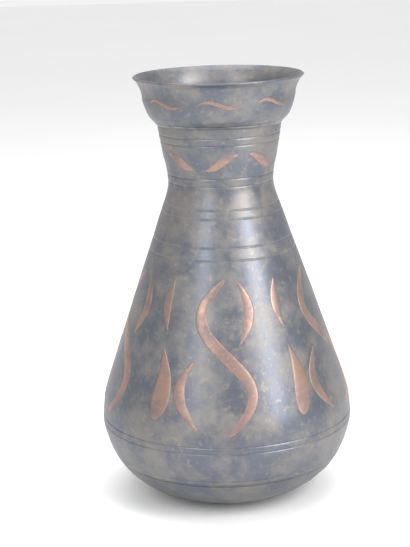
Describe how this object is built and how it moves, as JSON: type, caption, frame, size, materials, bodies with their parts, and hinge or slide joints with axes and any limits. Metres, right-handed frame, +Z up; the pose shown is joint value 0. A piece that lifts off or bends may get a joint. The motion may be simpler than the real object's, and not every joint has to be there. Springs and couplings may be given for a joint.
{
  "type": "metal vase",
  "caption": "Drop-shaped dark patinated brass vase with a waisted neck, a flared mouth cup on a ledge and copper inlays.",
  "frame": {"origin": "centre of the flat foot, on the surface that the vase stands on", "axes": "+Z up along the vase's axis, front towards -Y"},
  "size_m": [0.1788, 0.1788, 0.3008],
  "materials": {
    "patinated_brass": "dark slate patina over brass, worn grey-olive low down",
    "copper_inlay": "dulled copper, hammered flush, fine scratches",
    "solder": "dull grey soft solder"
  },
  "bodies": {
    "root": {"base_pan": "patinated_brass", "body_shell": "patinated_brass", "mouth_cup": "patinated_brass", "collar_solder_seam": "solder", "panel_scroll_1": "copper_inlay", "panel_low_leaf_1": "copper_inlay", "panel_high_leaf_1": "copper_inlay", "panel_drop_1": "copper_inlay", "panel_bud_1": "copper_inlay", "panel_scroll_2": "copper_inlay", "panel_low_leaf_2": "copper_inlay", "panel_high_leaf_2": "copper_inlay", "panel_drop_2": "copper_inlay", "panel_bud_2": "copper_inlay", "panel_scroll_3": "copper_inlay", "panel_low_leaf_3": "copper_inlay", "panel_high_leaf_3": "copper_inlay", "panel_drop_3": "copper_inlay", "panel_bud_3": "copper_inlay", "panel_scroll_4": "copper_inlay", "panel_low_leaf_4": "copper_inlay", "panel_high_leaf_4": "copper_inlay", "panel_drop_4": "copper_inlay", "panel_bud_4": "copper_inlay", "panel_scroll_5": "copper_inlay", "panel_low_leaf_5": "copper_inlay", "panel_high_leaf_5": "copper_inlay", "panel_drop_5": "copper_inlay", "panel_bud_5": "copper_inlay", "neck_leaf_1": "copper_inlay", "neck_leaf_2": "copper_inlay", "neck_leaf_3": "copper_inlay", "neck_leaf_4": "copper_inlay", "neck_leaf_5": "copper_inlay", "neck_leaf_6": "copper_inlay", "neck_leaf_7": "copper_inlay", "neck_leaf_8": "copper_inlay", "collar_wave_1": "copper_inlay", "collar_wave_2": "copper_inlay", "collar_wave_3": "copper_inlay", "collar_wave_4": "copper_inlay", "collar_wave_5": "copper_inlay", "collar_wave_6": "copper_inlay", "collar_wave_7": "copper_inlay", "collar_wave_8": "copper_inlay"}
  },
  "joints": []
}
